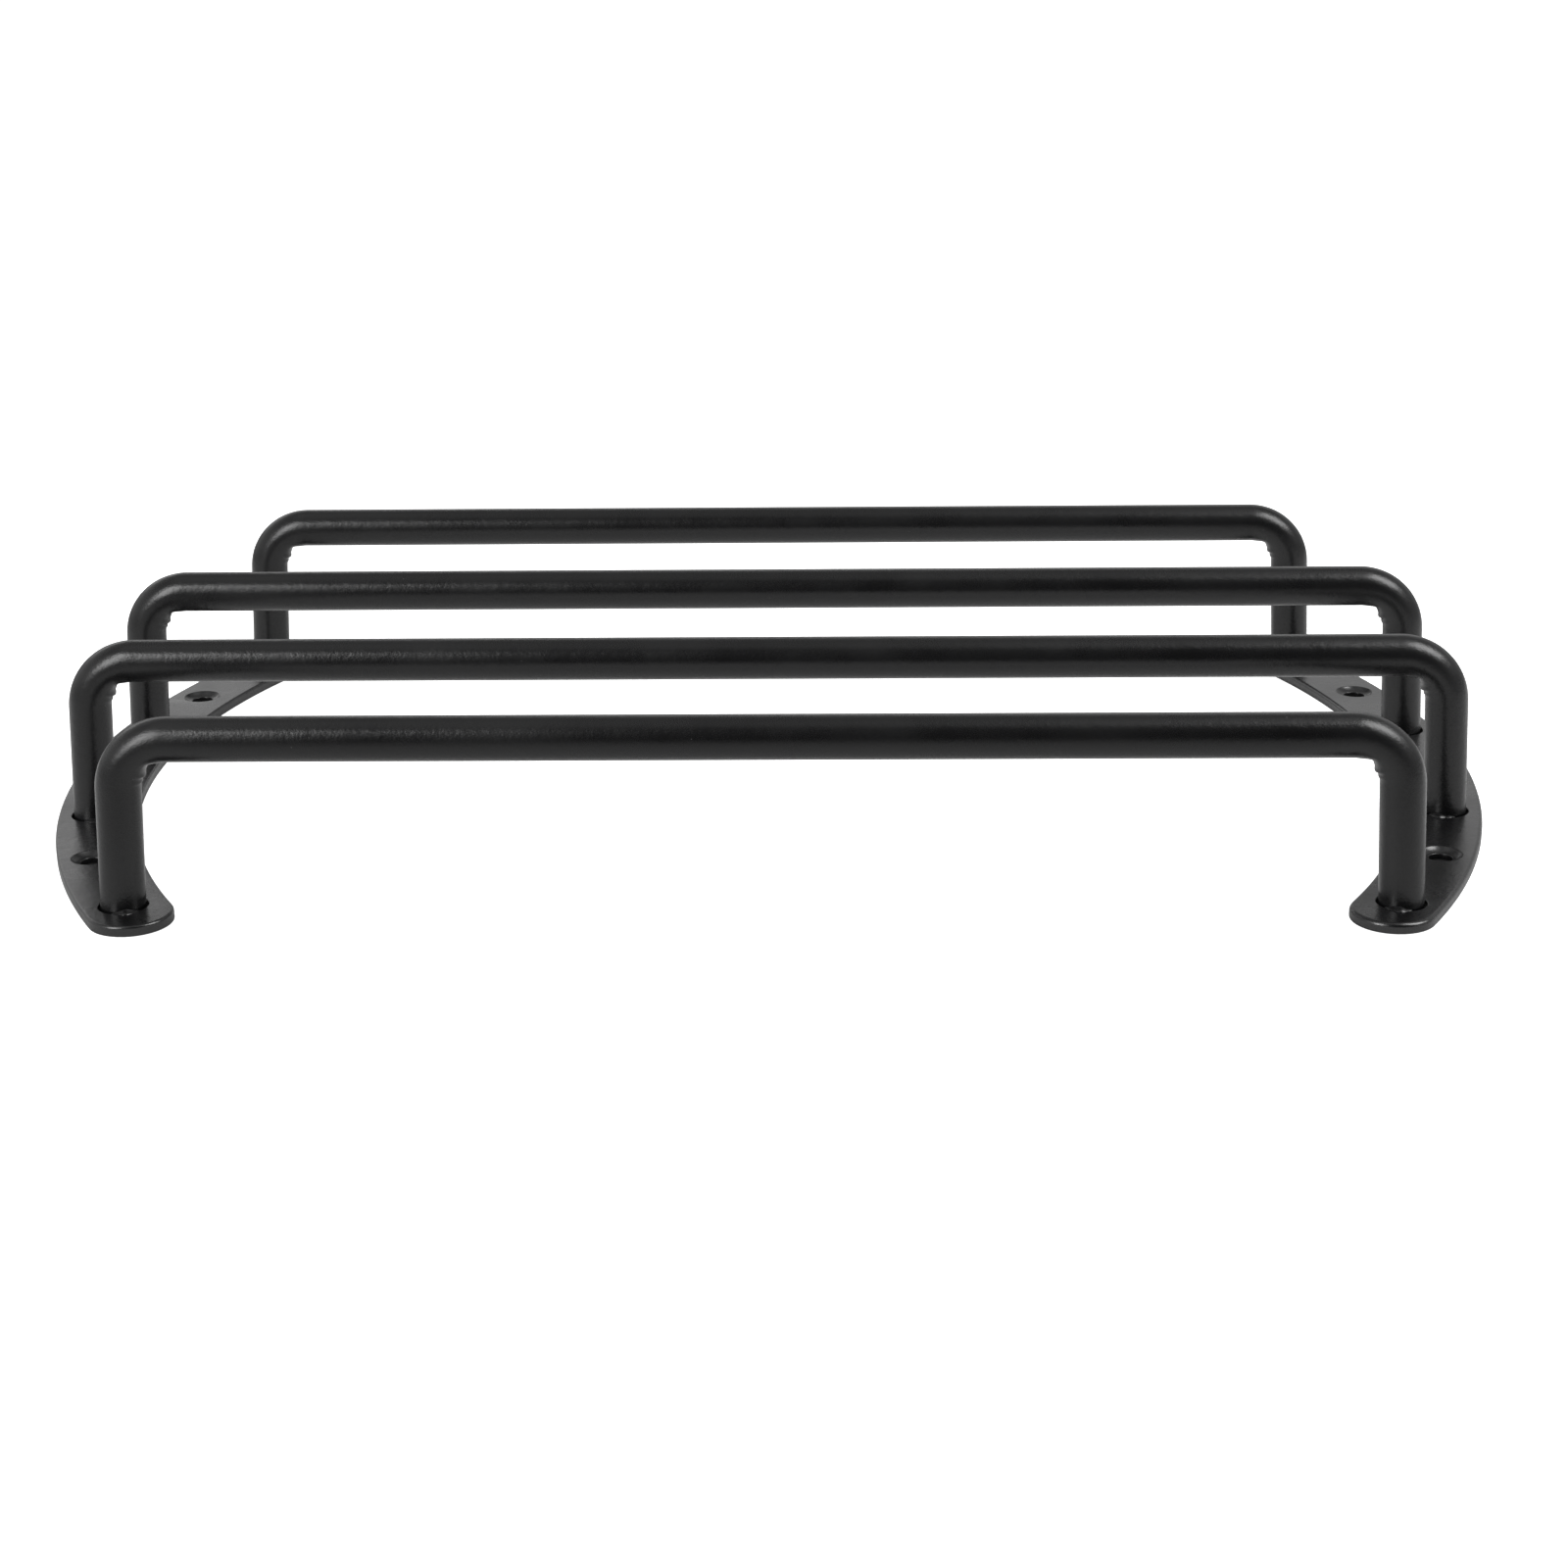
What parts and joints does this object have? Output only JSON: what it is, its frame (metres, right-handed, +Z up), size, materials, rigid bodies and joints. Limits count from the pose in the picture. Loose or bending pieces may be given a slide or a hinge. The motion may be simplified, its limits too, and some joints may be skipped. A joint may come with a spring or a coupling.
{
  "type": "luggage rack",
  "caption": "Rigid luggage rack of parallel bent-tube hoops welded into curved flat foot plates with dished screw holes, satin black coating.",
  "frame": {"origin": "middle of the rack on the mounting plane, which is the underside of both foot plates", "axes": "+X to the right along the bars, +Y from the front hoop to the rear hoop, +Z up from the mounting plane to the bars"},
  "size_m": [0.4254, 0.2581, 0.0561],
  "materials": {
    "coated_tube": "satin black powder coat on bent steel tube",
    "coated_plate": "satin black powder coat on flat steel plate",
    "coated_weld": "satin black powder coat over a rippled weld bead"
  },
  "bodies": {
    "root": {"front_hoop": "coated_tube", "front_middle_hoop": "coated_tube", "rear_middle_hoop": "coated_tube", "rear_hoop": "coated_tube", "left_plate": "coated_plate", "right_plate": "coated_plate", "left_front_hoop_weld": "coated_weld", "left_front_middle_hoop_weld": "coated_weld", "left_rear_middle_hoop_weld": "coated_weld", "left_rear_hoop_weld": "coated_weld", "right_front_hoop_weld": "coated_weld", "right_front_middle_hoop_weld": "coated_weld", "right_rear_middle_hoop_weld": "coated_weld", "right_rear_hoop_weld": "coated_weld"}
  },
  "joints": []
}
